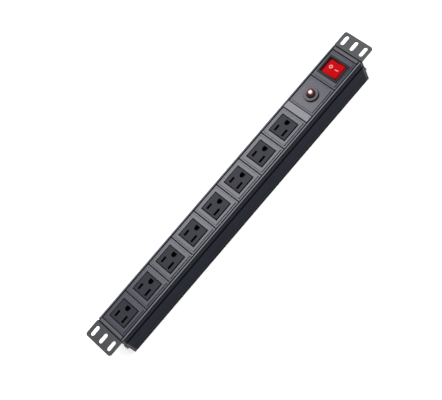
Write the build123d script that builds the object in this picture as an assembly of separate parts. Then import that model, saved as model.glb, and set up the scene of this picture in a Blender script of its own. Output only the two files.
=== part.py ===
from build123d import *
import math
import os

# Rack power strip for a 19 inch rack, modelled lying on its back, in millimetres.
# X runs along the strip with the switch towards +X, Y across it, Z out of the
# outlets' side.  The origin is the middle of the back face.

# ---------------------------------------------------------------- overall sizes
housing_width = 44.0          # outside of the channel
housing_depth = 46.5          # back face to the two front lips

# ---------------------------------------------------------------- row of modules
outlet_count = 8
module_pitch = 41.6           # outlets, breaker and switch share one pitch
filler_pitch = 10.4           # blank strip between outlets and breaker
filler_arm_inset = 1.0
end_strip = 4.2               # strip of the end cap that fills the row
end_groove = 1.2              # dark groove from that strip to the bracket
end_groove_depth = 3.0
module_gap = 0.8              # dark joint between neighbours

# ---------------------------------------------------------------- channel section
back_wall = 2.0
side_wall = 1.9
lip_round = 0.9
back_round = 0.5
lip_groove_depth = 2.9        # fine line just under the lip, from the front
lip_groove_width = 1.2
lip_groove_cut = 0.7
band_groove_depth = 12.5      # middle of the broad groove, from the front
band_groove_width = 4.4
band_groove_cut = 1.2
foot_step_height = 9.0        # where the wall starts to draw in, above the back
foot_step_run = 5.5
foot_step_cut = 0.3
rib_reach = 1.3               # ledges inside the lips that carry the modules
rib_height = 1.6
port_radius = 2.4             # screw ports inside the side walls
port_core = 1.6
port_inset = 1.6              # port's middle, in from the wall's inside
port_z = 22.0
port_clearance = 0.3          # outlets' shells to the ports

# ---------------------------------------------------------------- end caps, brackets
cap_plate = 1.5
cap_relief = 0.2              # cap plate stands in from the channel's outline
cap_plug_depth = 4.0          # how far the plug reaches into the channel
cap_plug_wall = 2.0
cap_plug_play = 1.0           # plug to the screw ports and to the back wall
bracket_thickness = 1.5
bracket_overhang = 0.2        # bracket is this much wider than the channel, each side
bracket_bend = 0.5            # inside radius of the bend
ear_length = 21.2             # from the outside of the leg to the ear's end
ear_setback = 1.5             # ear's front, behind the lips
ear_corner = 3.6
bracket_foot = 0.4            # leg ends this far above the back face
leg_corner = 1.0
slot_length = 13.6
slot_width = 5.4
slot_pitch = 14.8
slot_from_leg = 10.5          # slot centre, from the outside of the leg
bracket_hole = 2.1
screw_shank = 1.55
screw_length = 12.0
screw_head_radius = 3.6
screw_head_height = 2.3
screw_head_round = 1.25
cross_width = 0.9             # arms of the screw's cross recess
cross_span = 4.0
cross_depth = 0.45

# ---------------------------------------------------------------- module faces
face_side_gap = 1.1           # module face to the inside of the wall
plate_thickness = 3.4
face_recess = 1.2             # ledge round the face, behind the lips
step_width = 2.3              # width of that ledge
plate_round = 0.5
face_round = 0.35
clip_arm = 1.1                # snap arms under the long edges
clip_arm_inset = 0.3
clip_arm_width = 9.0
clip_drop = 4.6
clip_barb = 0.75
barb_bevel = 0.6
clip_play = 0.15

# ---------------------------------------------------------------- outlets
insert_size = 24.6
insert_gap = 1.2              # dark gap round the insert
insert_proud = 0.75           # insert's face, in front of the lips
flange_lap = 1.0              # flange behind the edge of the opening
insert_flange_thickness = 2.0
insert_fit = 0.1
insert_round = 0.5            # upright corners
insert_edge = 0.35            # edge of its face
frame_shoulder = 3.5          # depth of the narrow part of the opening
skirt_wall = 1.5
skirt_depth = 9.0
hook_reach = 0.8
hook_height = 1.3
hook_bevel = 0.55
hook_width = 10.0
shell_inset = 1.0             # shell's body, in from its flange
shell_flange_thickness = 1.5
shell_depth = 25.0
shell_floor = 3.0
blade_spacing = 12.7
ground_offset = 11.9          # ground hole to the line of the blades
blade_x = -5.2                # line of the blades, from the middle of the outlet
hot_slot = (8.0, 2.7)
neutral_slot = (9.8, 2.7)
ground_width = 6.4
ground_length = 6.6
slot_lead_in = 0.25
pocket_margin = 0.9           # contact chamber, round its slot or hole
leaf_thickness = 0.5
leaf_gap = 1.4
leaf_width = 5.6
leaf_from_insert = 2.5
ground_leaf_gap = 4.9
tab_width = 3.2
tab_thickness = 0.8

# ---------------------------------------------------------------- bus bars and wires
bar_width = 5.0
bar_thickness = 1.2
bar_height = 9.0              # underside of the bars, above the back face
bar_overrun = 9.0             # bars run past the outer contacts by this
liner_thickness = 0.4
liner_side_gap = 3.0
liner_end_gap = 2.0           # liner to the plug of the left end cap
liner_past_bars = 4.0         # liner stops this far short of the bars' ends
wire_radius = 1.6
wire_bend = 3.0
wire_low = 4.6                # wires that cross the back run at this height
wire_lane = 14.5              # neutral wire passes the breaker this far out
wire_stub = 6.0
sleeve_length = 7.0
sleeve_wall = 0.5
sleeve_lip = 1.0              # sleeve reaches past the tip of its blade

# ---------------------------------------------------------------- rocker switch
rocker_length = 20.6          # along the strip
rocker_gap = 0.3
rocker_swing_radius = 12.8
case_wall = 1.6               # beside the rocker
case_end_wall = 1.2           # at the ends of its swing
bezel_lap = 1.2               # bezel beyond the case, along the strip
bezel_end_lap = 0.95          # and across it
bezel_height = 1.5
bezel_round = 0.7             # upright corners
bezel_edge = 0.6              # edge of its face
case_depth = 22.5
case_floor = 3.5
cutout_play = 0.2
rocker_tilt = 8.0             # each way from level
rocker_rise = 2.3             # middle of the rocker's top, above its pin
rocker_skirt = 5.0
rocker_wall = 1.5
rocker_round = 0.4
pin_radius = 1.2
pin_play = 0.05
pin_drop = 2.2                # pin, behind the lips
rocker_boss = 2.2
plunger_radius = 1.5
plunger_play = 0.05
plunger_reach = 11.0
plunger_seat = 5.0            # depth of the plunger's socket below the pin
plunger_socket = 7.4
plunger_tip_round = 1.2
lever_length = 13.0
lever_width = 4.0
lever_thickness = 0.7
lever_drop = 13.6             # lever's pivot, below the rocker's pin
lever_neck = 2.2              # width of the middle terminal under the lever
lever_ratio = 1.2
lever_pivot_radius = 0.9
lever_play = 0.1
lever_contact_height = 0.5
lever_contact_radius = 0.9
lever_contact_inset = 1.2
lever_open_gap = 0.3
blade_width = 4.8
blade_thickness = 0.8
blade_length = 7.5
blade_tip = 0.8
outer_terminal = 9.0          # outer terminals, from the middle one
lamp_radius = 1.9
lamp_length = 11.0
lamp_end_round = 1.5
lamp_offset = 9.6
lamp_drop = 12.4

# ---------------------------------------------------------------- circuit breaker
neck_radius = 5.8
neck_play = 0.1
neck_rise = 0.9
collar_rim = 3.8              # collar beyond the neck
collar_slope = 1.6            # how far its bevel runs in
collar_side = 1.35            # its upright side
collar_height = 3.0
collar_edge = 0.5             # bevel at the mouth of its bore
collar_round = 0.6
button_side_play = 0.5        # cap inside the collar's bore
button_height = 11.6          # top of the dome, in front of the lips
cap_clearance = 0.3           # cap to the neck when the button is pressed
button_stem = 3.0
stem_play = 0.25
stem_flange = 4.6
stem_flange_height = 1.5
stem_depth = 12.0             # flange's top, behind the lips
stem_stop_gap = 0.3           # flange to the ceiling above it
guide_radius = 1.4
guide_play = 0.6
guide_length = 3.0
button_travel = 1.6
breaker_length = 15.0         # along the strip
breaker_width = 28.0
breaker_depth = 24.0
breaker_wall = 1.4
breaker_corner = 1.0
spring_radius = 2.9
spring_wire = 0.5
spring_turns = 5
spring_end_gap = 0.1
bridge_thickness = 1.6
spring_length = 8.0
strip_thickness = 0.6         # bimetal strip
strip_width = 5.0
strip_height = 1.2            # above the case's floor
strip_overrun = 1.0           # past each terminal
crown_length = 5.0            # doubled part of the strip under the button
breaker_blade_offset = 9.0

# ---------------------------------------------------------------- cord inlet, earth
inlet_hole = 7.0              # radius of the hole in the back wall
inlet_bore = 4.6
inlet_flange = 9.4
inlet_flange_thickness = 0.9
inlet_flange_gap = 0.3
inlet_length = 9.0
inlet_snap = 0.7
inlet_snap_bevel = 0.6
inlet_flange_sink = 0.1       # flange, in from the back face
inlet_ring = 1.6
inlet_from_switch = 8.0       # from the middle of the switch, towards the bracket
earth_from_breaker = 10.8     # earth screw, from the breaker towards the outlets
earth_screw_radius = 1.7
earth_screw_setback = 0.3     # shank's end, in from the back face
earth_head_radius = 3.6
earth_head_height = 2.2
earth_head_round = 1.1
lug_thickness = 0.8
lug_radius = 4.0
lug_barrel = 5.0
lug_barrel_wall = 0.4
lug_hole_play = 0.15
lug_neck_lap = 1.0            # neck under the ring
lug_wire_gap = 1.0            # wire's end to the ring

# ---------------------------------------------------------------- worked-out places
front = housing_depth
row_end = (outlet_count + 2) * module_pitch / 2 + filler_pitch / 2
strip_end = row_end + end_strip
leg_inner = strip_end + end_groove
end_x = leg_inner + bracket_thickness
housing_end = leg_inner - cap_plate
inner_y = housing_width / 2 - side_wall
rib_y = inner_y - rib_reach
port_y = inner_y - port_inset
plate_width = 2 * (inner_y - face_side_gap)
plate_top = front - face_recess
plate_bottom = plate_top - plate_thickness
bracket_width = housing_width + 2 * bracket_overhang
switch_x = row_end - module_pitch / 2
breaker_x = switch_x - module_pitch
filler_x = breaker_x - module_pitch / 2 - filler_pitch / 2
outlet_x = [filler_x - filler_pitch / 2 - module_pitch * (n + 0.5) for n in range(outlet_count)]
pivot_z = front - pin_drop
insert_opening = insert_size + 2 * insert_gap
insert_flange = insert_opening + 2 * flange_lap
shell_size = insert_flange - 2 * shell_inset
shell_width = min(shell_size, 2 * (port_y - port_radius - port_clearance))
insert_top = front + insert_proud
insert_back = front - frame_shoulder
insert_bottom = insert_back - insert_flange_thickness
shell_bottom = insert_bottom - shell_depth
ground_x = blade_x + ground_offset
line_pocket = [side + 2 * pocket_margin for side in hot_slot]
neutral_pocket = [side + 2 * pocket_margin for side in neutral_slot]
ground_pocket = [side + 2 * pocket_margin for side in (ground_length, ground_width)]
bar_top = bar_height + bar_thickness
case_hollow = (rocker_length + 2 * rocker_gap, 2 * (rocker_swing_radius + rocker_gap))
case_length = case_hollow[0] + 2 * case_wall
case_width = case_hollow[1] + 2 * case_end_wall
collar_radius = neck_radius + collar_rim
collar_top_radius = collar_radius - collar_slope
button_radius = neck_radius - button_side_play
inlet_x = switch_x + inlet_from_switch
earth_x = breaker_x - earth_from_breaker

os.makedirs("parts", exist_ok=True)


def block(x_size, y_size, z_low, z_high, x=0.0, y=0.0):
    """A box given by its plan size and its two heights."""
    solid = Box(x_size, y_size, z_high - z_low)
    return Pos(x, y, (z_low + z_high) / 2) * solid


def disc(radius, z_low, z_high, x=0.0, y=0.0):
    """An upright cylinder given by its two heights."""
    return Pos(x, y, (z_low + z_high) / 2) * Cylinder(radius, z_high - z_low)


def tube_x(radius, length, x, y, z):
    """A cylinder lying along X."""
    return Pos(x, y, z) * Rot(0, 90, 0) * Cylinder(radius, length)


def along_x(section, x_low, x_high):
    """A YZ section, drawn as (y, z), pushed along X."""
    face = Plane(origin=(x_low, 0, 0), x_dir=(0, 1, 0), z_dir=(1, 0, 0)) * section
    return extrude(face, x_high - x_low)


def top_edges(solid):
    """Edges of a solid's highest flat face."""
    return solid.faces().sort_by(Axis.Z)[-1].edges()


def write(node, shape):
    """One STEP file for a node; a list is written as a group of separate solids."""
    if isinstance(shape, list):
        solids = [s for item in shape for s in item.solids()]
        shape = Compound(children=solids)
    else:
        solids = shape.solids()
        shape = solids[0] if len(solids) == 1 else Compound(children=list(solids))
    shape.label = node
    export_step(shape, f"parts/{node}.step")


# ---------------------------------------------------------------- aluminium channel
def wall_outline():
    """Outside of the +Y wall as (y, z) points, from the back to the front lip."""
    y = housing_width / 2
    step = y - foot_step_cut
    band_z = front - band_groove_depth
    line_z = front - lip_groove_depth
    return [
        (step, 0.0),
        (step, foot_step_height - foot_step_run),
        (y, foot_step_height),
        (y, band_z - band_groove_width / 2),
        (y - band_groove_cut, band_z - band_groove_width / 4),
        (y - band_groove_cut, band_z + band_groove_width / 4),
        (y, band_z + band_groove_width / 2),
        (y, line_z - lip_groove_width / 2),
        (y - lip_groove_cut, line_z),
        (y, line_z + lip_groove_width / 2),
        (y, front),
    ]


def channel_section(inset=0.0, solid=False):
    """Channel outline with its hollow, or the filled outline for the cap plates."""
    right = [(y - inset, max(z, inset)) for y, z in wall_outline()]
    left = [(-y, z) for y, z in reversed(right)]
    if solid:
        return make_face(Polyline(*right, *left, close=True))
    inner = [(-inner_y, front), (-inner_y, back_wall), (inner_y, back_wall), (inner_y, front)]
    return make_face(Polyline(*right, *reversed(inner), *left, close=True))


def housing_channel():
    body = along_x(channel_section(), -housing_end, housing_end)
    lips = body.edges().filter_by(Axis.X).group_by(Axis.Z)[-1]
    outer_lips = lips.sort_by(lambda edge: abs(edge.center().Y))[-2:]
    body = fillet(outer_lips, lip_round)
    feet = body.edges().filter_by(Axis.X).group_by(Axis.Z)[0]
    body = fillet(feet, back_round)
    rib_low = plate_bottom - rib_height
    for side in (-1, 1):
        rib_middle = side * (rib_y + inner_y) / 2
        body += block(2 * housing_end, rib_reach, rib_low, plate_bottom, y=rib_middle)
        port = tube_x(port_radius, 2 * housing_end, 0, side * port_y, port_z)
        web_reach = inner_y - port_y
        web = block(2 * housing_end, web_reach, port_z - port_radius / 2, port_z + port_radius / 2,
                    y=side * (port_y + web_reach / 2))
        body += port + web
    for side in (-1, 1):
        body -= tube_x(port_core, 2 * housing_end, 0, side * port_y, port_z)
    body -= disc(inlet_hole, 0, back_wall, inlet_x)
    body -= disc(inlet_flange + inlet_flange_gap, 0, inlet_flange_thickness + inlet_flange_sink, inlet_x)
    body -= disc(earth_screw_radius, 0, back_wall, earth_x)
    return body


write("housing_channel", housing_channel())


# ---------------------------------------------------------------- end caps
def end_cap():
    """Plate on the channel's end, with a front strip that plugs in between the lips."""
    plate = along_x(channel_section(cap_relief, solid=True), housing_end, leg_inner)
    plate -= block(end_groove, bracket_width, front - end_groove_depth, front, strip_end + end_groove / 2)
    strip_start = row_end + module_gap / 2
    strip_middle = (strip_start + strip_end) / 2
    strip = block(strip_end - strip_start, plate_width, plate_bottom, front - cap_relief, strip_middle)
    strip = chamfer(top_edges(strip), plate_round)
    plug_half = port_y - port_radius - cap_plug_play
    plug_low = back_wall + cap_plug_play
    plug_middle = housing_end - cap_plug_depth / 2
    plug = block(cap_plug_depth, 2 * plug_half, plug_low, plate_bottom, plug_middle)
    plug -= block(cap_plug_depth, 2 * (plug_half - cap_plug_wall), plug_low + cap_plug_wall,
                  plate_bottom - cap_plug_wall, plug_middle)
    cap = plate + strip + plug
    for side in (-1, 1):
        cap -= tube_x(bracket_hole, 3 * cap_plate, housing_end, side * port_y, port_z)
    return cap


cap_right = end_cap()
write("end_cap_right", cap_right)
write("end_cap_left", mirror(cap_right, Plane.YZ))


# ---------------------------------------------------------------- rack brackets
def rack_slot(y):
    """One rounded mounting slot, as a cutter through the ear."""
    outline = SlotOverall(slot_length, slot_width)
    x = end_x + slot_from_leg
    low = front - ear_setback - 2 * bracket_thickness
    return Pos(x, y, low) * extrude(outline, 3 * bracket_thickness)


def rack_bracket():
    """Folded steel angle: a leg over the end of the strip and an ear for the rack."""
    ear_front = front - ear_setback
    outer = bracket_bend + bracket_thickness
    centre_x = leg_inner + outer
    centre_z = ear_front - outer
    ear_end = end_x + ear_length
    leg = block(bracket_thickness, bracket_width, bracket_foot, centre_z, leg_inner + bracket_thickness / 2)
    ear = block(ear_end - centre_x, bracket_width, ear_front - bracket_thickness, ear_front, (ear_end + centre_x) / 2)
    ring = Pos(centre_x, 0, centre_z) * Rot(90, 0, 0) * (
        Cylinder(outer, bracket_width) - Cylinder(bracket_bend, bracket_width)
    )
    quarter = block(outer, bracket_width, centre_z, ear_front, centre_x - outer / 2)
    ear_corners = ear.edges().filter_by(Axis.Z).group_by(Axis.X)[-1]
    ear = fillet(ear_corners, ear_corner)
    leg_corners = leg.edges().filter_by(Axis.X).group_by(Axis.Z)[0]
    leg = fillet(leg_corners, leg_corner)
    bracket = leg + (ring & quarter) + ear
    for step in (-1, 0, 1):
        bracket -= rack_slot(step * slot_pitch)
    for side in (-1, 1):
        bracket -= tube_x(bracket_hole, 3 * bracket_thickness, end_x, side * port_y, port_z)
    return bracket


bracket_right = rack_bracket()
write("rack_bracket_right", bracket_right)
write("rack_bracket_left", mirror(bracket_right, Plane.YZ))


def bracket_screw(side):
    """Pan-head screw through the leg and cap into a screw port."""
    head = Pos(end_x + screw_head_height / 2, side * port_y, port_z) * Rot(0, 90, 0)
    head = head * Cylinder(screw_head_radius, screw_head_height)
    rim = head.edges().sort_by(Axis.X)[-1]
    head = fillet(rim, screw_head_round)
    head_end = end_x + screw_head_height
    for width, span in ((cross_width, cross_span), (cross_span, cross_width)):
        head -= block(2 * cross_depth, width, port_z - span / 2, port_z + span / 2, head_end, side * port_y)
    shank = tube_x(screw_shank, screw_length, end_x - screw_length / 2, side * port_y, port_z)
    return head + shank


right_screws = [bracket_screw(side) for side in (-1, 1)]
left_screws = [mirror(screw, Plane.YZ) for screw in right_screws]
write("bracket_screws", right_screws + left_screws)


# ---------------------------------------------------------------- module faces
def stepped_plate(x_size):
    """Module face: a ledge all round and a raised field level with the lips."""
    base = block(x_size, plate_width, plate_bottom, plate_top)
    base = fillet(top_edges(base), plate_round)
    field = block(x_size - 2 * step_width, plate_width - 2 * step_width, plate_top, front)
    field = fillet(top_edges(field), face_round)
    return base + field


def snap_arms():
    """Two arms that hook under the ribs inside the channel."""
    arm_outer = rib_y - clip_arm_inset
    rib_low = plate_bottom - rib_height
    arms = []
    for side in (-1, 1):
        arm = block(clip_arm_width, clip_arm, plate_bottom - clip_drop, plate_bottom,
                    y=side * (arm_outer - clip_arm / 2))
        barb = block(clip_arm_width, clip_barb + clip_arm_inset, plate_bottom - clip_drop, rib_low - clip_play,
                     y=side * (arm_outer + (clip_barb + clip_arm_inset) / 2))
        tip = barb.edges().filter_by(Axis.X).group_by(Axis.Z)[0]
        tip = tip.sort_by(lambda edge: abs(edge.center().Y))[-1]
        arms.append(arm + chamfer(tip, barb_bevel))
    return arms[0] + arms[1]


def outlet_frame():
    """Snap-in frame: stepped face, square opening, skirt with two hooks behind."""
    frame = stepped_plate(module_pitch - module_gap) + snap_arms()
    pocket = insert_flange + 2 * insert_fit
    skirt_outer = pocket + 2 * skirt_wall
    skirt = block(skirt_outer, skirt_outer, insert_back - skirt_depth, plate_bottom)
    frame += skirt
    frame -= block(pocket, pocket, insert_back - skirt_depth, insert_back)
    frame -= block(insert_opening, insert_opening, insert_back, front)
    hook_top = insert_bottom - shell_flange_thickness - insert_fit
    for side in (-1, 1):
        hook = block(hook_reach, hook_width, hook_top - hook_height, hook_top, side * (pocket - hook_reach) / 2)
        lead = hook.edges().filter_by(Axis.Y).group_by(Axis.Z)[0]
        lead = lead.sort_by(lambda edge: abs(edge.center().X))[0]
        frame += chamfer(lead, hook_bevel)
    return frame


def ground_outline():
    """D-shaped ground hole: round towards the blades, flat on the far side."""
    radius = ground_width / 2
    straight = ground_length - radius
    round_end = Pos(ground_x - ground_length / 2 + radius, 0) * Circle(radius)
    flat_end = Pos(ground_x + ground_length / 2 - straight / 2, 0) * Rectangle(straight, ground_width)
    return round_end + flat_end


def outlet_insert():
    """Grounded two-blade outlet face with a flange behind it."""
    face = block(insert_size, insert_size, insert_back, insert_top)
    face = fillet(face.edges().filter_by(Axis.Z), insert_round)
    face = fillet(top_edges(face), insert_edge)
    insert = face + block(insert_flange, insert_flange, insert_bottom, insert_back)
    depth = insert_top - insert_bottom
    for slot, side in ((hot_slot, 1), (neutral_slot, -1)):
        y = side * blade_spacing / 2
        insert -= block(slot[0], slot[1], insert_bottom, insert_top, blade_x, y)
        lead = Rectangle(slot[0] + 2 * slot_lead_in, slot[1] + 2 * slot_lead_in)
        lead_cut = Pos(blade_x, y, insert_top) * extrude(lead, -slot_lead_in, taper=45)
        insert -= lead_cut
    hole = Pos(0, 0, insert_bottom) * extrude(ground_outline(), depth)
    return insert - hole


def pocket_shell():
    """Moulded back shell with a chamber for each contact and a slot for its tab."""
    shell = block(shell_size, shell_width, shell_bottom, insert_bottom)
    shell += block(insert_flange, insert_flange, insert_bottom - shell_flange_thickness, insert_bottom)
    floor = shell_bottom + shell_floor
    half = blade_spacing / 2
    shell -= block(*line_pocket, floor, insert_bottom, blade_x, half)
    shell -= block(*neutral_pocket, floor, insert_bottom, blade_x, -half)
    shell -= block(*ground_pocket, floor, insert_bottom, ground_x, 0)
    for x, y in ((blade_x, half), (blade_x, -half), (ground_x, 0)):
        shell -= block(tab_width, tab_thickness, shell_bottom, floor, x, y)
    return shell


def contact(x, y, gap, width):
    """Two spring leaves on a foot, with a solder tab down to its bus bar."""
    floor = shell_bottom + shell_floor
    top = insert_bottom - leaf_from_insert
    foot = block(width, gap + 2 * leaf_thickness, floor, floor + leaf_thickness, x, y)
    part = foot
    for side in (-1, 1):
        leaf_y = y + side * (gap + leaf_thickness) / 2
        part += block(width, leaf_thickness, floor, top, x, leaf_y)
    return part + block(tab_width, tab_thickness, bar_top, floor, x, y)


frame_model = outlet_frame()
insert_model = outlet_insert()
shell_model = pocket_shell()
line_model = contact(blade_x, blade_spacing / 2, leaf_gap, leaf_width)
neutral_model = contact(blade_x, -blade_spacing / 2, leaf_gap, leaf_width)
ground_model = contact(ground_x, 0, ground_leaf_gap, leaf_width)
for number, x in enumerate(outlet_x, start=1):
    write(f"outlet_frame_{number}", Pos(x, 0, 0) * frame_model)
    write(f"outlet_insert_{number}", Pos(x, 0, 0) * insert_model)
    write(f"outlet_shell_{number}", Pos(x, 0, 0) * shell_model)
write("line_contacts", [Pos(x, 0, 0) * line_model for x in outlet_x])
write("neutral_contacts", [Pos(x, 0, 0) * neutral_model for x in outlet_x])
write("earth_contacts", [Pos(x, 0, 0) * ground_model for x in outlet_x])


# ---------------------------------------------------------------- filler strip
def filler_strip():
    """Plain blanking strip, snapped in between the outlets and the breaker."""
    width = filler_pitch - module_gap
    strip = block(width, plate_width, plate_bottom, front - cap_relief)
    strip = fillet(top_edges(strip), plate_round)
    arm_outer = rib_y - clip_arm_inset
    for side in (-1, 1):
        strip += block(width - 2 * filler_arm_inset, clip_arm, plate_bottom - clip_drop, plate_bottom,
                       y=side * (arm_outer - clip_arm / 2))
    return Pos(filler_x, 0, 0) * strip


write("filler_strip", filler_strip())

# ---------------------------------------------------------------- bus bars and liner
bar_low_x = outlet_x[-1] + blade_x - bar_overrun
bar_high_x = outlet_x[0] + ground_x + bar_overrun


def bus_bar(y):
    length = bar_high_x - bar_low_x
    return block(length, bar_width, bar_height, bar_top, (bar_low_x + bar_high_x) / 2, y)


write("line_busbar", bus_bar(blade_spacing / 2))
write("neutral_busbar", bus_bar(-blade_spacing / 2))
write("earth_busbar", bus_bar(0))


def insulating_liner():
    """Thin board under the bars that keeps them off the metal back."""
    width = 2 * (inner_y - liner_side_gap)
    low_x = -(housing_end - cap_plug_depth - liner_end_gap)
    high_x = bar_high_x - liner_past_bars
    return block(high_x - low_x, width, back_wall, back_wall + liner_thickness, (low_x + high_x) / 2)


write("insulating_liner", insulating_liner())


# ---------------------------------------------------------------- rocker switch
def switch_plate():
    plate = stepped_plate(module_pitch - module_gap) + snap_arms()
    hole = block(case_length + 2 * cutout_play, case_width + 2 * cutout_play, plate_bottom, front)
    return Pos(switch_x, 0, 0) * (plate - hole)


def switch_case():
    """Black nylon case with a bezel; open at the top for the rocker."""
    bottom = front - case_depth
    case = block(case_length, case_width, bottom, front)
    bezel_size = (case_length + 2 * bezel_lap, case_width + 2 * bezel_end_lap)
    bezel = block(*bezel_size, front, front + bezel_height)
    bezel = fillet(bezel.edges().filter_by(Axis.Z), bezel_round)
    case += fillet(top_edges(bezel), bezel_edge)
    case -= block(*case_hollow, bottom + case_floor, front + bezel_height)
    case -= tube_x(pin_radius, case_length, 0, 0, pivot_z)
    for y in terminal_places:
        case -= block(blade_width, blade_thickness, bottom, bottom + case_floor, 0, y)
    return Pos(switch_x, 0, 0) * case


def rocker_section(trim=0.0):
    """Rocker's end view about its pin; a trim gives the hollow, open at the bottom."""
    radius = rocker_swing_radius - trim
    rise = rocker_rise - trim
    slope = math.tan(math.radians(rocker_tilt))
    edge = 2 * rocker_swing_radius
    top = [(-edge, rise + edge * slope), (0, rise), (edge, rise + edge * slope)]
    low = -rocker_skirt - trim
    outline = make_face(Polyline((-edge, low), *top, (edge, low), close=True))
    return outline & Circle(radius)


def switch_rocker():
    """Translucent red rocker: thin shell, pin boss and plunger socket."""
    half = rocker_length / 2
    body = along_x(rocker_section(), -half, half)
    body = fillet(body.edges().filter_by(Axis.Z, reverse=True).group_by(Axis.Z)[-1], rocker_round)
    inside = half - rocker_wall
    body -= along_x(rocker_section(rocker_wall), -inside, inside)
    body += tube_x(rocker_boss, 2 * half, 0, 0, 0)
    body += disc(rocker_boss, -plunger_socket, 0)
    body -= disc(plunger_radius + plunger_play, -plunger_socket, -plunger_seat)
    body -= tube_x(pin_radius + pin_play, 2 * half, 0, 0, 0)
    return body


def tilted(shape, angle):
    """Turn a piece modelled level about the rocker's pin and put it in the case."""
    return Pos(switch_x, 0, pivot_z) * Rot(angle, 0, 0) * shape


terminal_places = (-outer_terminal, 0.0, outer_terminal)
rest_tilt = -rocker_tilt      # the +Y half is pressed in
write("switch_plate", switch_plate())
write("switch_case", switch_case())
write("switch_rocker", tilted(switch_rocker(), rest_tilt))
plunger_pin = disc(plunger_radius, -plunger_reach, -plunger_seat)
plunger_pin = fillet(plunger_pin.edges().sort_by(Axis.Z)[0], plunger_tip_round)
write("rocker_plunger", tilted(plunger_pin, rest_tilt))
write("rocker_pin", Pos(switch_x, 0, pivot_z) * Rot(0, 90, 0) * Cylinder(pin_radius, case_length))


def contact_lever():
    """See-saw contact under the plunger, with a half-round seat at its middle."""
    seat_radius = lever_pivot_radius + lever_play
    strip = block(lever_width, lever_length, 0, lever_thickness)
    seat = tube_x(seat_radius + lever_thickness, lever_width, 0, 0, 0)
    seat -= block(2 * lever_width, 2 * lever_length, -lever_length, 0)
    lever = strip + seat - tube_x(seat_radius, 2 * lever_width, 0, 0, 0)
    for side in (-1, 1):
        y = side * (lever_length / 2 - lever_contact_inset)
        lever += disc(lever_contact_radius, -lever_contact_height, 0, 0, y)
    return lever


lever_z = pivot_z - lever_drop
lever_tilt = -rest_tilt * lever_ratio
write("contact_lever", Pos(switch_x, 0, lever_z) * Rot(lever_tilt, 0, 0) * contact_lever())


def switch_terminals():
    """Middle one carries the lever, the +Y one has a contact arm, the -Y one feeds the lamp."""
    bottom = front - case_depth
    contact_reach = lever_length / 2 - lever_contact_inset
    dip = contact_reach * math.sin(math.radians(lever_tilt)) + lever_contact_height
    arm_top = lever_z - dip - lever_open_gap
    pieces = []
    for y in terminal_places:
        blade = block(blade_width, blade_thickness, bottom - blade_length, arm_top, 0, y)
        tip = blade.edges().filter_by(Axis.Y).group_by(Axis.Z)[0]
        blade = chamfer(tip, blade_tip)
        if y == 0:
            blade += block(lever_neck, blade_thickness, arm_top, lever_z, 0, y)
            blade += tube_x(lever_pivot_radius, lever_width, 0, 0, lever_z)
        if y > 0:
            inner = contact_reach - lever_contact_radius
            blade += block(blade_width, y - inner, arm_top - blade_thickness, arm_top, 0, (y + inner) / 2)
        pieces.append(Pos(switch_x, 0, 0) * blade)
    return pieces


write("switch_terminals", switch_terminals())


def switch_lamp():
    """Small neon lamp lying in the case under the rocker's lit half."""
    lamp = tube_x(lamp_radius, lamp_length, switch_x, lamp_offset, pivot_z - lamp_drop)
    return fillet(lamp.edges(), lamp_end_round)


write("switch_lamp", switch_lamp())


# ---------------------------------------------------------------- circuit breaker
def breaker_plate():
    plate = stepped_plate(module_pitch - module_gap) + snap_arms()
    return Pos(breaker_x, 0, 0) * (plate - disc(neck_radius + neck_play, plate_bottom, front))


def breaker_case():
    """Case with a threaded neck through the plate; hollow, open at the bottom."""
    bottom = plate_bottom - breaker_depth
    case = block(breaker_length, breaker_width, bottom, plate_bottom)
    case = fillet(case.edges().filter_by(Axis.Z), breaker_corner)
    neck_top = front + neck_rise
    case += disc(neck_radius, plate_bottom, neck_top)
    inner_x = breaker_length - 2 * breaker_wall
    inner_w = breaker_width - 2 * breaker_wall
    ceiling = front - stem_depth + stem_stop_gap
    bridge = front - stem_depth - stem_flange_height - spring_length
    case -= block(inner_x, inner_w, bridge, ceiling)
    case -= block(inner_x, inner_w, bottom + breaker_wall, bridge - bridge_thickness)
    case -= disc(guide_radius + guide_play, bridge - bridge_thickness, bridge)
    case -= disc(button_stem + stem_play, ceiling, neck_top)
    for side in (-1, 1):
        y = side * breaker_blade_offset
        case -= block(blade_width, blade_thickness, bottom, bottom + breaker_wall, 0, y)
    return Pos(breaker_x, 0, 0) * case


def breaker_collar():
    """Round nut on the neck, bevelled towards its bore."""
    top = front + collar_height
    outline = Polyline(
        (neck_radius, front),
        (collar_radius, front),
        (collar_radius, front + collar_side),
        (collar_top_radius, top),
        (neck_radius + collar_edge, top),
        (neck_radius, top - collar_edge),
        close=True,
    )
    nut = revolve(Plane.XZ * make_face(outline), Axis.Z)
    rings = nut.edges().filter_by(GeomType.CIRCLE).sort_by(lambda ring: (ring.radius, ring.center().Z))
    return Pos(breaker_x, 0, 0) * fillet([rings[-1], rings[-3]], collar_round)


def breaker_button():
    """Domed cap on a stem, kept in the neck by a flange on its inner end."""
    cap_low = front + neck_rise + button_travel + cap_clearance
    top = front + button_height
    dome_centre = top - button_radius
    flange_top = front - stem_depth
    flange_low = flange_top - stem_flange_height
    button = disc(button_radius, cap_low, dome_centre)
    dome = Pos(0, 0, dome_centre) * Sphere(button_radius)
    button += dome - block(4 * button_radius, 4 * button_radius, dome_centre - 2 * button_radius, dome_centre)
    button += disc(button_stem, flange_top, cap_low)
    button += disc(stem_flange, flange_low, flange_top)
    button += disc(guide_radius, flange_low - guide_length, flange_low)
    return Pos(breaker_x, 0, 0) * button


def breaker_spring():
    """Return spring between the stem's flange and the bridge in the case."""
    low = front - stem_depth - stem_flange_height - spring_length
    usable = spring_length - 2 * (spring_wire + spring_end_gap)
    path = Helix(pitch=usable / spring_turns, height=usable, radius=spring_radius)
    start = path ^ 0
    coil = sweep(start * Circle(spring_wire), path=path, is_frenet=True)
    return Pos(breaker_x, 0, low + spring_wire + spring_end_gap) * coil


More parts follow.
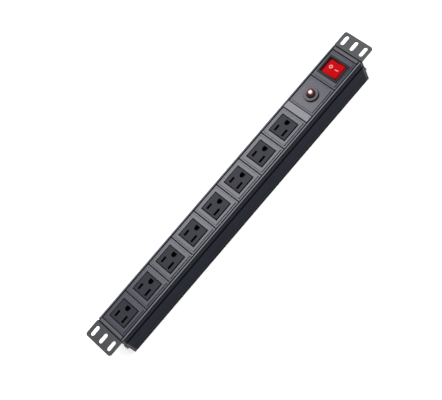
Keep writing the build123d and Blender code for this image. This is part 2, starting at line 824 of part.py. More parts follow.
def breaker_bimetal():
    """Bent strip between the two terminals that trips the button."""
    bottom = plate_bottom - breaker_depth
    low = bottom + breaker_wall + strip_height
    length = 2 * (breaker_blade_offset + strip_overrun) + blade_thickness
    strip = block(strip_width, length, low, low + strip_thickness)
    crown = block(strip_width, crown_length, low + strip_thickness, low + 2 * strip_thickness)
    return Pos(breaker_x, 0, 0) * (strip + crown)


def breaker_terminals():
    bottom = plate_bottom - breaker_depth
    pieces = []
    for side in (-1, 1):
        y = side * breaker_blade_offset
        top = bottom + breaker_wall + strip_height
        blade = block(blade_width, blade_thickness, bottom - blade_length, top, 0, y)
        tip = blade.edges().filter_by(Axis.Y).group_by(Axis.Z)[0]
        pieces.append(Pos(breaker_x, 0, 0) * chamfer(tip, blade_tip))
    return pieces


write("breaker_plate", breaker_plate())
write("breaker_case", breaker_case())
write("breaker_collar", breaker_collar())
write("breaker_button", breaker_button())
write("breaker_spring", breaker_spring())
write("breaker_bimetal", breaker_bimetal())
write("breaker_terminals", breaker_terminals())


# ---------------------------------------------------------------- cord inlet and earth
def cord_grommet():
    """Rubber bush in the back wall: flush outer flange, inner snap ring."""
    bush = disc(inlet_flange, 0, inlet_flange_thickness, inlet_x)
    bush += disc(inlet_hole, 0, inlet_length, inlet_x)
    ring = disc(inlet_hole + inlet_snap, back_wall, back_wall + inlet_ring, inlet_x)
    ring = chamfer(ring.edges().group_by(Axis.Z)[-1], inlet_snap_bevel)
    bush += ring
    return bush - disc(inlet_bore, 0, inlet_length, inlet_x)


write("cord_grommet", cord_grommet())


def earth_lug():
    """Ring terminal under the earth screw's head, with a barrel for the wire."""
    ring = disc(lug_radius, back_wall, back_wall + lug_thickness, earth_x)
    barrel_x = earth_x - lug_radius - lug_barrel / 2
    outer = wire_radius + lug_barrel_wall
    neck = block(lug_barrel, 2 * wire_radius, back_wall, back_wall + lug_thickness, barrel_x + lug_neck_lap)
    barrel = tube_x(outer, lug_barrel, barrel_x, 0, back_wall + outer)
    bore = tube_x(wire_radius, lug_barrel, barrel_x, 0, back_wall + outer)
    lug = ring + neck + barrel - bore
    return lug - disc(earth_screw_radius + lug_hole_play, back_wall, back_wall + lug_thickness, earth_x)


def earth_screw():
    head_low = back_wall + lug_thickness
    head = disc(earth_head_radius, head_low, head_low + earth_head_height, earth_x)
    head = fillet(head.edges().sort_by(Axis.Z)[-1], earth_head_round)
    shank = disc(earth_screw_radius, earth_screw_setback, head_low, earth_x)
    return head + shank


write("earth_lug", earth_lug())
write("earth_screw", earth_screw())


def wire(*points):
    """Insulated wire: straight runs joined by tangent arcs."""
    corners = len(points) - 2
    path = FilletPolyline(*points, radius=[wire_bend] * corners)
    return sweep((path ^ 0) * Circle(wire_radius), path=path)


bar_middle = (bar_height + bar_top) / 2
bar_line = blade_spacing / 2
breaker_tip = plate_bottom - breaker_depth - blade_length
switch_tip = front - case_depth - blade_length
breaker_wire_z = breaker_tip - sleeve_lip
switch_wire_z = switch_tip - sleeve_lip
stub_x = bar_high_x + wire_stub
lamp_blade = terminal_places[0]

bar_to_breaker = wire(
    (bar_high_x, bar_line, bar_middle),
    (stub_x, bar_line, bar_middle),
    (stub_x + 2 * wire_stub, breaker_blade_offset, wire_low),
    (breaker_x, breaker_blade_offset, wire_low),
    (breaker_x, breaker_blade_offset, breaker_wire_z),
)
breaker_to_switch = wire(
    (breaker_x, -breaker_blade_offset, breaker_wire_z),
    (breaker_x, -breaker_blade_offset, wire_low),
    (breaker_x + 3 * wire_stub, -breaker_blade_offset, wire_low),
    (switch_x - 1.5 * wire_stub, 0, switch_wire_z - wire_stub),
    (switch_x, 0, switch_wire_z - wire_stub),
    (switch_x, 0, switch_wire_z),
)
bar_to_switch = wire(
    (bar_high_x, -bar_line, bar_middle),
    (stub_x, -bar_line, bar_middle),
    (stub_x + 2 * wire_stub, -wire_lane, wire_low),
    (switch_x - 2 * wire_stub, -wire_lane, wire_low),
    (switch_x, lamp_blade, wire_low),
    (switch_x, lamp_blade, switch_wire_z),
)
write("power_wires", [bar_to_breaker, breaker_to_switch, bar_to_switch])

lug_wire_z = back_wall + wire_radius + lug_barrel_wall
lug_end = earth_x - lug_radius - lug_barrel
write("earth_wire", wire(
    (bar_high_x, 0, bar_middle),
    (bar_high_x + wire_stub / 2, 0, bar_middle),
    (lug_end - wire_stub / 2, 0, lug_wire_z),
    (lug_end + lug_barrel - lug_wire_gap, 0, lug_wire_z),
))


def blade_sleeve(x, y, tip):
    """Push-on sleeve over a blade, closed where the wire goes in."""
    outer = block(blade_width + 2 * sleeve_wall, blade_thickness + 2 * sleeve_wall + 2 * wire_radius,
                  tip - sleeve_lip, tip - sleeve_lip + sleeve_length, x, y)
    outer = fillet(outer.edges().filter_by(Axis.Z), sleeve_wall)
    return outer - block(blade_width, blade_thickness, tip, tip + sleeve_length, x, y)


write("blade_sleeves", [
    blade_sleeve(breaker_x, breaker_blade_offset, breaker_tip),
    blade_sleeve(breaker_x, -breaker_blade_offset, breaker_tip),
    blade_sleeve(switch_x, 0, switch_tip),
    blade_sleeve(switch_x, lamp_blade, switch_tip),
])
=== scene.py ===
import bpy
import bmesh
import math
from mathutils import Matrix, Vector


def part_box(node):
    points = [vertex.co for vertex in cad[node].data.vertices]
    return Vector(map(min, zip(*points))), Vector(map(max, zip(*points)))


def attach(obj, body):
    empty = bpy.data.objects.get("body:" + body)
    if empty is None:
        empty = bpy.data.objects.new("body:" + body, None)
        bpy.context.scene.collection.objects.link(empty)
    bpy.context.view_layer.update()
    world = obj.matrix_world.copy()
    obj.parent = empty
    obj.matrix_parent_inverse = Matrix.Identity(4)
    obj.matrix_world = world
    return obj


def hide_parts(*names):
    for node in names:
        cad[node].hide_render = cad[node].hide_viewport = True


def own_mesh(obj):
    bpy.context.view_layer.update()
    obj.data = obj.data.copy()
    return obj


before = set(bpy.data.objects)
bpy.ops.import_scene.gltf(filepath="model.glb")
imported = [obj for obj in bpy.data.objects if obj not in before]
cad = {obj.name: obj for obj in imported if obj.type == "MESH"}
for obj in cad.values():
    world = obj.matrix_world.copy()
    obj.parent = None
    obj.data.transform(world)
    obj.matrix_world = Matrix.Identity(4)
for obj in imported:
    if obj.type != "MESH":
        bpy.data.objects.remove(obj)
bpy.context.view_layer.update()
mm = 0.001
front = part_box("housing_channel")[1].z


# ------------------------------------------------------------------ camera
# A long lens, high on the -Y side, turned so that the strip runs from the lower
# left to the upper right of the picture.
aim = Vector((-0.0166, 0.0001, front))
distance = 1.2463
azimuth = math.radians(-10.2)
elevation = math.radians(61.4)
roll = math.radians(-40.4)
offset = Vector((
    math.cos(elevation) * math.sin(azimuth),
    -math.cos(elevation) * math.cos(azimuth),
    math.sin(elevation),
))
lens = bpy.data.cameras.new("camera")
lens.sensor_width = 36.0
lens.lens = 85.3
lens.clip_start = 0.05
camera = bpy.data.objects.new("camera", lens)
bpy.context.collection.objects.link(camera)
look = (-offset).to_track_quat("-Z", "Y").to_matrix().to_4x4()
stand = Matrix.Translation(aim + distance * offset)
camera.matrix_world = stand @ look @ Matrix.Rotation(roll, 4, "Z")
bpy.context.scene.camera = camera
bpy.context.scene.view_settings.view_transform = "Standard"


# ------------------------------------------------------------------ studio
# A pale floor, an even white room and three soft boxes: one high behind the
# strip that its faces mirror, one straight above for the domes, one low in front.
def soft_box(name, size, watts, place, target):
    """Rectangular area lamp aimed at a point."""
    lamp = bpy.data.lights.new(name, "AREA")
    lamp.shape = "RECTANGLE"
    lamp.size, lamp.size_y = size
    lamp.energy = watts
    box = bpy.data.objects.new(name, lamp)
    bpy.context.collection.objects.link(box)
    box.location = place
    box.rotation_euler = (Vector(target) - Vector(place)).to_track_quat("-Z", "Y").to_euler()


soft_box("behind", (0.56, 0.5), 4.7, (0.15, 0.60, 1.12), (0, 0, front))
soft_box("above", (0.35, 0.35), 4.0, (0.15, -0.02, 1.0), (0.15, 0, front))
soft_box("low_front", (1.6, 0.35), 1.5, (-0.1, -1.3, 0.75), (0, 0, front))
room = bpy.data.worlds.new("room")
room.use_nodes = True
sky = room.node_tree.nodes["Background"].inputs
sky["Color"].default_value = (1.0, 1.0, 1.0, 1)
sky["Strength"].default_value = 0.95
bpy.context.scene.world = room

floor_half = 6.0
floor_mesh = bmesh.new()
bmesh.ops.create_grid(floor_mesh, x_segments=1, y_segments=1, size=floor_half)
floor_data = bpy.data.meshes.new("floor")
floor_mesh.to_mesh(floor_data)
floor_mesh.free()
floor = bpy.data.objects.new("floor", floor_data)
bpy.context.collection.objects.link(floor)
paper = bpy.data.materials.new("floor_paper")
paper.use_nodes = True
sheet = paper.node_tree.nodes["Principled BSDF"].inputs
sheet["Base Color"].default_value = (0.93, 0.93, 0.93, 1)
sheet["Roughness"].default_value = 0.9
sheet["Emission Color"].default_value = (1, 1, 1, 1)
sheet["Emission Strength"].default_value = 0.35
floor_data.materials.append(paper)


# ------------------------------------------------------------------ channel housing
# Black anodised aluminium extrusion, sawn to length.  Die lines run along it; painted shade
# darkens the grooves, the foot and the inner edge of the -Y lip, and a painted highlight
# lightens the two lips.
def finish(name, colour, roughness, specular=0.5, grain=0.0004, depth=0.00001, drift=0.1,
           gloss_drift=0.12, stretch=(1, 1, 1), metallic=0.0, patch=0.03, rub=0.0):
    """Shader with a fine skin, slow patches of tone, uneven gloss and handling rubs."""
    material = bpy.data.materials.new(name)
    material.use_nodes = True
    nodes = material.node_tree.nodes
    links = material.node_tree.links
    shader = nodes["Principled BSDF"]
    shader.inputs["Metallic"].default_value = metallic
    shader.inputs["Specular IOR Level"].default_value = specular
    place = nodes.new("ShaderNodeTexCoord")
    spread = nodes.new("ShaderNodeMapping")
    spread.inputs["Scale"].default_value = stretch
    links.new(place.outputs["Object"], spread.inputs["Vector"])
    fine = nodes.new("ShaderNodeTexNoise")
    fine.inputs["Scale"].default_value = 1 / grain
    fine.inputs["Detail"].default_value = 3
    links.new(spread.outputs["Vector"], fine.inputs["Vector"])
    slow = nodes.new("ShaderNodeTexNoise")
    slow.inputs["Scale"].default_value = 1 / patch
    slow.inputs["Detail"].default_value = 5
    slow.inputs["Roughness"].default_value = 0.65
    links.new(place.outputs["Object"], slow.inputs["Vector"])
    tone = nodes.new("ShaderNodeMix")
    tone.data_type = "RGBA"
    tone.inputs["A"].default_value = (*[part * (1 - drift) for part in colour], 1)
    tone.inputs["B"].default_value = (*[part * (1 + drift) + rub for part in colour], 1)
    links.new(slow.outputs["Fac"], tone.inputs["Factor"])
    links.new(tone.outputs["Result"], shader.inputs["Base Color"])
    gloss = nodes.new("ShaderNodeMapRange")
    gloss.inputs["To Min"].default_value = roughness * (1 - gloss_drift)
    gloss.inputs["To Max"].default_value = roughness * (1 + gloss_drift)
    links.new(fine.outputs["Fac"], gloss.inputs["Value"])
    links.new(gloss.outputs["Result"], shader.inputs["Roughness"])
    bump = nodes.new("ShaderNodeBump")
    bump.inputs["Distance"].default_value = depth
    links.new(fine.outputs["Fac"], bump.inputs["Height"])
    links.new(bump.outputs["Normal"], shader.inputs["Normal"])
    return material


def reach(material, axis, mirrored=False):
    """Place along one axis; mirrored counts both ways from the middle."""
    nodes = material.node_tree.nodes
    links = material.node_tree.links
    place = nodes.new("ShaderNodeTexCoord")
    parts = nodes.new("ShaderNodeSeparateXYZ")
    links.new(place.outputs["Object"], parts.inputs["Vector"])
    if not mirrored:
        return parts.outputs[axis]
    size = nodes.new("ShaderNodeMath")
    size.operation = "ABSOLUTE"
    links.new(parts.outputs[axis], size.inputs[0])
    return size.outputs["Value"]


def shade(material, measure, bands):
    """Multiply a finish by a run of colours, from (measure, colour) pairs."""
    nodes = material.node_tree.nodes
    links = material.node_tree.links
    low = bands[0][0]
    high = bands[-1][0]
    share = nodes.new("ShaderNodeMapRange")
    share.inputs["From Min"].default_value = low
    share.inputs["From Max"].default_value = high
    links.new(measure, share.inputs["Value"])
    ramp = nodes.new("ShaderNodeValToRGB")
    stops = ramp.color_ramp.elements
    while len(stops) < len(bands):
        stops.new(0.5)
    for stop, (level, colour) in zip(stops, bands):
        stop.position = (level - low) / (high - low)
        stop.color = (*colour, 1)
    links.new(share.outputs["Result"], ramp.inputs["Fac"])
    layer = nodes.new("ShaderNodeMix")
    layer.data_type = "RGBA"
    layer.blend_type = "MULTIPLY"
    layer.inputs["Factor"].default_value = 1.0
    base = nodes["Principled BSDF"].inputs["Base Color"]
    links.new(base.links[0].from_socket, layer.inputs["A"])
    links.new(ramp.outputs["Color"], layer.inputs["B"])
    links.new(layer.outputs["Result"], base)


def dress(material, *names):
    """Give CAD nodes a finish in place of their plain one."""
    for name in names:
        for slot in cad[name].material_slots:
            slot.material = material


anodised = finish("black_anodised", (1, 1, 1), 0.45, specular=0.03, grain=0.0006, depth=0.000014,
                  stretch=(0.02, 1, 1), drift=0.18, patch=0.05)
wall = (0.0045, 0.0058, 0.0125)
# Painted shade colours for the foot, the lip grooves and the broad groove, and a painted highlight
# colour for the lip tops.
deep_painted_shade = (0.0008, 0.0008, 0.0012)
groove_painted_shade = (0.003, 0.0035, 0.0065)
lip_painted_highlight = (0.150, 0.152, 0.175)
foot_edge = 0.3 * mm
foot_dark = 3.6 * mm
foot_end = 6.4 * mm
groove_low = front - 14.2 * mm
groove_high = front - 11.6 * mm
groove_fade = 1.4 * mm
lip_groove_low = front - 3.4 * mm
lip_groove_high = front - 1.6 * mm
lip_groove_fade = 0.5 * mm
lip_low = front - 0.9 * mm
# By height: painted shade at the foot and in the grooves, a painted highlight on the lip tops.
shade(anodised, reach(anodised, "Z"), [
    (0.0, wall),
    (foot_edge, deep_painted_shade),
    (foot_dark, deep_painted_shade),
    (foot_end, wall),
    (groove_low - groove_fade, wall),
    (groove_low, groove_painted_shade),
    (groove_high, groove_painted_shade),
    (groove_high + groove_fade, wall),
    (lip_groove_low - lip_groove_fade, wall),
    (lip_groove_low, deep_painted_shade),
    (lip_groove_high, deep_painted_shade),
    (lip_low, lip_painted_highlight),
])
full = (1, 1, 1)
# Near-black painted shade for the inner edge of the -Y lip, where the gap to the faces lies.
lip_painted_shade = (0.02, 0.02, 0.02)
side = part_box("housing_channel")[1].y
lip_shade_fade = 0.85 * mm
lip_shade_low = 1.05 * mm
lip_shade_high = 2.0 * mm
lip_end = 2.1 * mm
# Painted shade along the inner edge of the -Y lip.
shade(anodised, reach(anodised, "Y"), [
    (-side + lip_shade_fade, full),
    (-side + lip_shade_low, lip_painted_shade),
    (-side + lip_shade_high, lip_painted_shade),
    (-side + lip_end, full),
])
dress(anodised, "housing_channel")

# ------------------------------------------------------------------ end caps
# Moulded nylon plates, held under the brackets.  The strip that fills the row has the
# module faces' gloss; the plate under it carries painted shade in its groove.
cap_nylon = finish("cap_nylon", (1, 1, 1), 0.38, specular=0.4, drift=0.08)
# Near-black painted shade for surfaces sunk in grooves and gaps.
painted_shade_black = (0.002, 0.002, 0.002)
strip_black = (0.060, 0.060, 0.072)
plate_depth = 1.6 * mm
strip_depth = 1.0 * mm
# Painted shade darkens the plate below the strip, in its groove.
shade(cap_nylon, reach(cap_nylon, "Z"), [
    (front - plate_depth, painted_shade_black),
    (front - strip_depth, strip_black),
])
dress(cap_nylon, "end_cap_left", "end_cap_right")

# ------------------------------------------------------------------ rack brackets
# Folded steel with a satin black powder coat that has an orange-peel skin, held by
# pan-head screws in black zinc.  The folded legs carry painted shade, and the left end
# is a little darker as painted shade.
powder = finish("bracket_powder_coat", (0.052, 0.0535, 0.057), 0.42, specular=0.2, grain=0.0009,
                depth=0.00003, drift=0.14, patch=0.02, rub=0.004)
leg_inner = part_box("end_cap_right")[1].x
# Painted shade for the folded legs, and a slightly darker left end as painted shade.
leg_painted_shade = (0.1, 0.1, 0.1)
left_painted_shade = (0.80, 0.80, 0.84)
leg_middle = leg_inner + 0.6 * mm
leg_outer = leg_inner + 1.2 * mm
leg_low = front - 4.4 * mm
leg_high = front - 3.2 * mm
ear_end = 240 * mm
# Painted shade on the legs, across the strip and by height, and toward the left end.
shade(powder, reach(powder, "X", mirrored=True), [(leg_middle, leg_painted_shade), (leg_outer, full)])
shade(powder, reach(powder, "Z"), [(leg_low, leg_painted_shade), (leg_high, full)])
shade(powder, reach(powder, "X"), [(-ear_end, left_painted_shade), (ear_end, full)])
dress(powder, "rack_bracket_left", "rack_bracket_right")
zinc = finish("black_zinc", (0.09, 0.09, 0.095), 0.35, metallic=0.9)
dress(zinc, "bracket_screws", "earth_screw")

# ------------------------------------------------------------------ module faces
# Semi-gloss black ABS mouldings that snap in side by side; the light on them comes
# from their skin, which is a little uneven.
outlets = range(1, 9)
face_abs = finish("face_abs", (1, 1, 1), 0.25, grain=0.0003, depth=0.000006, drift=0.12,
                  patch=0.012)
face_black = (0.025, 0.026, 0.041)
gap_depth = 1.7 * mm
face_depth = 1.4 * mm
# Painted shade darkens the mouldings' sides below their ledge.
shade(face_abs, reach(face_abs, "Z"), [
    (front - gap_depth, painted_shade_black),
    (front - face_depth, face_black),
])
dress(face_abs, *[f"outlet_frame_{n}" for n in outlets], "switch_plate", "breaker_plate")
filler_abs = finish("filler_abs", (0.105, 0.103, 0.122), 0.28, grain=0.0003, depth=0.000006,
                    patch=0.008)
dress(filler_abs, "filler_strip")

# ------------------------------------------------------------------ outlet inserts
# Darker nylon with a spark-eroded texture, dropped in from behind on a flange.  Below
# its face, and so inside the slots, it carries painted shade.
insert_nylon = finish("insert_nylon", (0.0115, 0.012, 0.019), 0.50, specular=0.22, grain=0.00025,
                      depth=0.00003, drift=0.15, patch=0.010)
insert_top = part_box("outlet_insert_1")[1].z
slot_painted_shade = (0.05, 0.05, 0.05)
slot_depth = 0.16 * mm
skin_depth = 0.05 * mm
# Painted shade darkens everything below the insert's face, inside the slots.
shade(insert_nylon, reach(insert_nylon, "Z"), [
    (insert_top - slot_depth, slot_painted_shade),
    (insert_top - skin_depth, full),
])
dress(insert_nylon, *[f"outlet_insert_{n}" for n in outlets])
shell_nylon = finish("shell_nylon", (0.008, 0.008, 0.009), 0.6, specular=0.2)
dress(shell_nylon, *[f"outlet_shell_{n}" for n in outlets])

# ------------------------------------------------------------------ contacts and bars
# Stamped brass leaves and bare copper bars, dulled by handling, with the board and
# the wires inside the channel.  The outlet contacts are painted dark as shade in their chambers.
brass = finish("stamped_brass", (0.70, 0.50, 0.22), 0.32, metallic=1.0, drift=0.15)
dress(brass, "switch_terminals", "breaker_terminals", "contact_lever", "earth_lug",
      "breaker_bimetal")
# Brass painted dark: painted shade for the contacts inside the outlet chambers.
chamber_shaded = finish("chamber_shade_brass", (0.06, 0.045, 0.022), 0.5, metallic=1.0, drift=0.2)
dress(chamber_shaded, "line_contacts", "neutral_contacts", "earth_contacts")
copper = finish("bar_copper", (0.72, 0.38, 0.24), 0.3, metallic=1.0, stretch=(0.05, 1, 1),
                drift=0.2)
dress(copper, "line_busbar", "neutral_busbar", "earth_busbar")
board = finish("liner_board", (0.30, 0.32, 0.34), 0.7)
dress(board, "insulating_liner")
wire_black = finish("wire_black", (0.02, 0.02, 0.02), 0.45)
dress(wire_black, "power_wires")
wire_green = finish("wire_green", (0.02, 0.20, 0.04), 0.45)
dress(wire_green, "earth_wire")
sleeve_vinyl = finish("sleeve_vinyl", (0.40, 0.03, 0.02), 0.4)
dress(sleeve_vinyl, "blade_sleeves")

# ------------------------------------------------------------------ switch
# Black nylon case and bezel round a translucent red rocker on a steel pin.  Painted shade
# darkens the red at both its sides and at its +Y end.
switch_nylon = finish("switch_nylon", (0.006, 0.006, 0.0065), 0.34, specular=0.18)
dress(switch_nylon, "switch_case")
rocker_red = finish("rocker_red", (0.36, 0.0008, 0.0035), 0.28, specular=0.03, depth=0.000003,
                    drift=0.10, patch=0.006)
pin_low, pin_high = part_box("rocker_pin")
pivot = (pin_low + pin_high) / 2
# Painted shade for the rocker's +Y end and its two sides.
rocker_painted_shade = (0.22, 0.22, 0.22)
end_start = 9.4 * mm
end_full = 10.8 * mm
left_full = pivot.x - 10.2 * mm
left_start = pivot.x - 9.3 * mm
right_start = pivot.x + 8.4 * mm
right_full = pivot.x + 9.6 * mm
shade(rocker_red, reach(rocker_red, "Y"), [(end_start, full), (end_full, rocker_painted_shade)])
shade(rocker_red, reach(rocker_red, "X"), [
    (left_full, rocker_painted_shade),
    (left_start, full),
    (right_start, full),
    (right_full, rocker_painted_shade),
])
dress(rocker_red, "switch_rocker")
pin_steel = finish("pin_steel", (0.55, 0.55, 0.56), 0.3, metallic=1.0)
dress(pin_steel, "rocker_pin", "rocker_plunger")
lamp_glass = finish("lamp_glass", (0.85, 0.55, 0.45), 0.08)
dress(lamp_glass, "switch_lamp")

# ------------------------------------------------------------------ rocker marks
# An O and an I, hot-stamped in pale foil on the two halves of the rocker.
half_slope = math.radians(8)
rocker_rise = 2.3 * mm
foil = 0.06 * mm
mark_foil = finish("mark_foil", (0.70, 0.24, 0.22), 0.45, specular=0.2, drift=0.2, patch=0.0006)
weld = 0.0001 * mm


def piece_of(mesh, name, material, body):
    """Turn a finished bmesh into an object that rides on a body."""
    bmesh.ops.remove_doubles(mesh, verts=mesh.verts, dist=weld)
    bmesh.ops.recalc_face_normals(mesh, faces=mesh.faces)
    data = bpy.data.meshes.new(name)
    mesh.to_mesh(data)
    mesh.free()
    data.materials.append(material)
    piece = bpy.data.objects.new(name, data)
    bpy.context.collection.objects.link(piece)
    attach(piece, body)
    return piece


def on_half(half, outset):
    """Place on one half of the rocker, an outset from its middle, foil side up."""
    tilt = Matrix.Translation(pivot) @ Matrix.Rotation(-half_slope, 4, "X")
    slope = Matrix.Translation((0, 0, rocker_rise)) @ Matrix.Rotation(half * half_slope, 4, "X")
    return tilt @ slope @ Matrix.Translation((0, half * outset, 0))


def turned(profile, steps):
    """Closed solid of revolution from (radius, height) points, in the order of the lathe."""
    mesh = bmesh.new()
    ring = [mesh.verts.new((radius, 0, height)) for radius, height in profile]
    edges = [mesh.edges.new(pair) for pair in zip(ring, ring[1:])]
    if profile[0][0] > 0:
        edges.append(mesh.edges.new((ring[-1], ring[0])))
    bmesh.ops.spin(mesh, geom=ring + edges, cent=(0, 0, 0), axis=(0, 0, 1), angle=math.tau,
                   steps=steps, use_merge=True, use_duplicate=False)
    return mesh


stroke = 1.15 * mm
letter = 4.9 * mm
outer = letter / 2
inner = outer - stroke
mark_o_shift = 0.9 * mm
mark_o_outset = 4.3 * mm
mark_o = turned([(inner, -foil), (outer, -foil), (outer, foil), (inner, foil)], 48)
mark_o.transform(Matrix.Translation((mark_o_shift, 0, 0)) @ on_half(1, mark_o_outset))
piece_of(mark_o, "mark_o", mark_foil, "rocker")

mark_i_length = letter * 1.25
mark_i_outset = 5.9 * mm
mark_i = bmesh.new()
bmesh.ops.create_cube(mark_i, size=1.0)
bmesh.ops.scale(mark_i, vec=(stroke, mark_i_length, 2 * foil), verts=mark_i.verts)
upright = [edge for edge in mark_i.edges if abs((edge.verts[0].co - edge.verts[1].co).z) > foil]
stroke_corner = stroke * 0.3
bmesh.ops.bevel(mark_i, geom=upright, offset=stroke_corner, segments=3, profile=0.5,
                affect="EDGES", material=-1)
mark_i.transform(on_half(-1, mark_i_outset))
piece_of(mark_i, "mark_i", mark_foil, "rocker")

# ------------------------------------------------------------------ breaker case and collar
# Black phenolic case behind the plate, held by a gloss nylon nut with a rounded
# shoulder and a fine line turned round its side.  The nut's side is painted black as shade
# and its top painted grey as a reflection.
phenolic = finish("phenolic", (0.008, 0.008, 0.008), 0.45, specular=0.3)
dress(phenolic, "breaker_case")
collar_gloss = finish("collar_gloss", (1, 1, 1), 0.30, specular=0.12, depth=0.000004)
# Painted shade blackens the nut's side; a painted reflection greys its top.
nut_side_painted_shade = (0.0015, 0.0015, 0.002)
rim_painted_reflection = (0.10, 0.10, 0.11)
side_height = 2.2 * mm
rim_height = 2.8 * mm
shade(collar_gloss, reach(collar_gloss, "Z"), [
    (front + side_height, nut_side_painted_shade),
    (front + rim_height, rim_painted_reflection),
])
nut_low, nut_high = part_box("breaker_collar")
nut_middle = (nut_low + nut_high) / 2
nut_radius = (nut_high.x - nut_low.x) / 2
nut_height = nut_high.z - nut_low.z
nut_bore = 5.8 * mm
nut_side = 1.3 * mm
nut_foot = 0.1 * mm
bore_edge = 0.35 * mm
shoulder = 1.9 * mm
shoulder_end = 62
line_cut = 0.14 * mm
line_low = 0.62 * mm
line_high = 0.74 * mm
line_slant = 0.07 * mm


def arc(radius, height, size, start, stop, steps):
    """Points of an arc in a lathe profile; angles are in degrees up from level."""
    angles = [math.radians(start + (stop - start) * step / steps) for step in range(steps + 1)]
    return [(radius + size * math.cos(angle), height + size * math.sin(angle)) for angle in angles]


nut = turned([
    (nut_bore, 0),
    (nut_radius - nut_foot, 0),
    (nut_radius, nut_foot),
    (nut_radius, line_low - line_slant),
    (nut_radius - line_cut, line_low),
    (nut_radius - line_cut, line_high),
    (nut_radius, line_high + line_slant),
    *arc(nut_radius - shoulder, nut_side, shoulder, 0, shoulder_end, 8),
    (nut_radius - shoulder + 0.2 * mm, nut_height - 0.05 * mm),
    (nut_radius - shoulder - 0.3 * mm, nut_height),
    (nut_bore + bore_edge, nut_height),
    (nut_bore, nut_height - bore_edge),
], 96)
nut.transform(Matrix.Translation((nut_middle.x, nut_middle.y, nut_low.z)))
collar = piece_of(nut, "collar_nut", collar_gloss, "chassis")
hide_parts("breaker_collar")

# ------------------------------------------------------------------ reset button
# Domed cap in dark red gloss plastic on its flanged stem, with a painted highlight: a
# pale spot fading into the red, set to one side of the dome's top, toward the camera.
cap_low, cap_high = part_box("breaker_button")
cap_radius = (cap_high.x - cap_low.x) / 2
cap_top = cap_high.z
dome_middle = cap_top - cap_radius
cap_bottom = front + 2.8 * mm
cap_edge = 0.3 * mm
dome_end = 88
stem_radius = 3.0 * mm
flange_radius = 4.6 * mm
flange_top = front - 12.0 * mm
flange_low = flange_top - 1.5 * mm
guide_radius = 1.4 * mm
button_x = (cap_low.x + cap_high.x) / 2
button_y = (cap_low.y + cap_high.y) / 2
button_red = finish("button_red", (0.030, 0.0012, 0.002), 0.13, specular=0.6, depth=0.000003,
                    drift=0.2)
cap = turned([
    (0, cap_low.z),
    (guide_radius, cap_low.z),
    (guide_radius, flange_low),
    (flange_radius, flange_low),
    (flange_radius, flange_top),
    (stem_radius, flange_top),
    (stem_radius, cap_bottom),
    (cap_radius - cap_edge, cap_bottom),
    (cap_radius, cap_bottom + cap_edge),
    (cap_radius, dome_middle - 0.7 * mm),
    (cap_radius - line_cut, dome_middle - 0.6 * mm),
    (cap_radius - line_cut, dome_middle - 0.4 * mm),
    (cap_radius, dome_middle - 0.3 * mm),
    *arc(0, dome_middle, cap_radius, 0, dome_end, 22),
    (0, cap_top),
], 72)
cap.transform(Matrix.Translation((button_x, button_y, 0)))
button = piece_of(cap, "reset_cap", button_red, "reset_button")
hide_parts("breaker_button")

# Painted highlight: a pale spot on the dome, leaning toward the camera.
painted_highlight = finish("painted_highlight", (1, 1, 1), 0.3, specular=0.5, drift=0.08, patch=0.0012)
dot_half = 36
dot_turn = math.radians(-10)
dot_lean = math.radians(24)
lean = Matrix.Rotation(dot_turn, 4, "Z") @ Matrix.Rotation(dot_lean, 4, "X")
paint = 0.03 * mm
dot_base = Vector((button_x, button_y, dome_middle - paint))
dot_middle = dot_base + lean @ Vector((0, 0, cap_radius))
gap = painted_highlight.node_tree.nodes.new("ShaderNodeVectorMath")
gap.operation = "DISTANCE"
gap.inputs[1].default_value = dot_middle
spot = painted_highlight.node_tree.nodes.new("ShaderNodeTexCoord")
painted_highlight.node_tree.links.new(spot.outputs["Object"], gap.inputs[0])
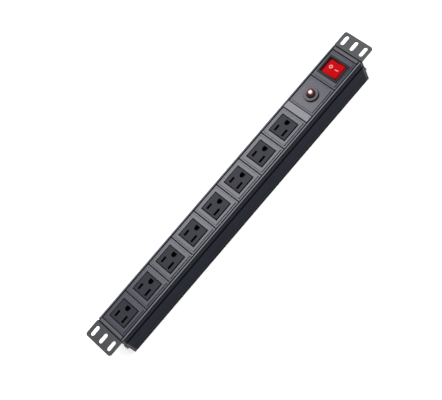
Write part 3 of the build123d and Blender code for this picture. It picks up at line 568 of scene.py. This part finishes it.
# Colours of the painted highlight, from its pale middle out to the button's red.
highlight_pale = (0.92, 0.78, 0.78)
highlight_fade = (0.50, 0.20, 0.21)
highlight_edge_red = (0.045, 0.004, 0.006)
shade(painted_highlight, gap.outputs["Value"], [
    (1.3 * mm, highlight_pale),
    (2.2 * mm, highlight_fade),
    (3.2 * mm, highlight_edge_red),
])
dot_rim = 90 - dot_half
dot = turned([
    *arc(0, 0, cap_radius - paint, dot_rim, dome_end, 10),
    (0, cap_radius - paint),
    (0, cap_radius + paint),
    *reversed(arc(0, 0, cap_radius + paint, dot_rim, dome_end, 10)),
], 64)
dot.transform(Matrix.Translation(dot_base) @ lean)
piece_of(dot, "reset_highlight", painted_highlight, "reset_button")

# ------------------------------------------------------------------ return spring
# Coil of spring steel between the button's flange and the bridge in the case, which the
# button compresses as it goes in; the coil is built at one length.
coil_low, coil_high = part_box("breaker_spring")
wire_radius = 0.5 * mm
coil_radius = (coil_high.x - coil_low.x) / 2 - wire_radius
coil_turns = 5
turn_steps = 32
wire_sides = 12
coil_steps = coil_turns * turn_steps
climb = (coil_high.z - coil_low.z - 2 * wire_radius) / coil_steps
pitch_slope = climb * turn_steps / (math.tau * coil_radius)
coil = bmesh.new()
rings = []
for step in range(coil_steps + 1):
    angle = math.tau * step / turn_steps
    outward = Vector((math.cos(angle), math.sin(angle), 0))
    along = Vector((-math.sin(angle), math.cos(angle), pitch_slope)).normalized()
    across = along.cross(outward)
    height = coil_low.z + wire_radius + climb * step
    middle = Vector((button_x, button_y, height)) + coil_radius * outward
    turns = [math.tau * wire_side / wire_sides for wire_side in range(wire_sides)]
    rings.append([
        coil.verts.new(middle + wire_radius * (math.cos(turn) * outward + math.sin(turn) * across))
        for turn in turns
    ])
for low_ring, high_ring in zip(rings, rings[1:]):
    for here in range(wire_sides):
        after = (here + 1) % wire_sides
        coil.faces.new((low_ring[here], low_ring[after], high_ring[after], high_ring[here]))
coil.faces.new(reversed(rings[0]))
coil.faces.new(rings[-1])
spring_steel = finish("spring_steel", (0.45, 0.45, 0.47), 0.3, metallic=1.0, drift=0.15,
                      patch=0.002)
spring = piece_of(coil, "return_spring", spring_steel, "chassis")
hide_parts("breaker_spring")
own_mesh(spring)

# ------------------------------------------------------------------ cord inlet
# Soft black rubber bush in the back wall.
rubber = finish("grommet_rubber", (0.015, 0.015, 0.015), 0.7)
dress(rubber, "cord_grommet")
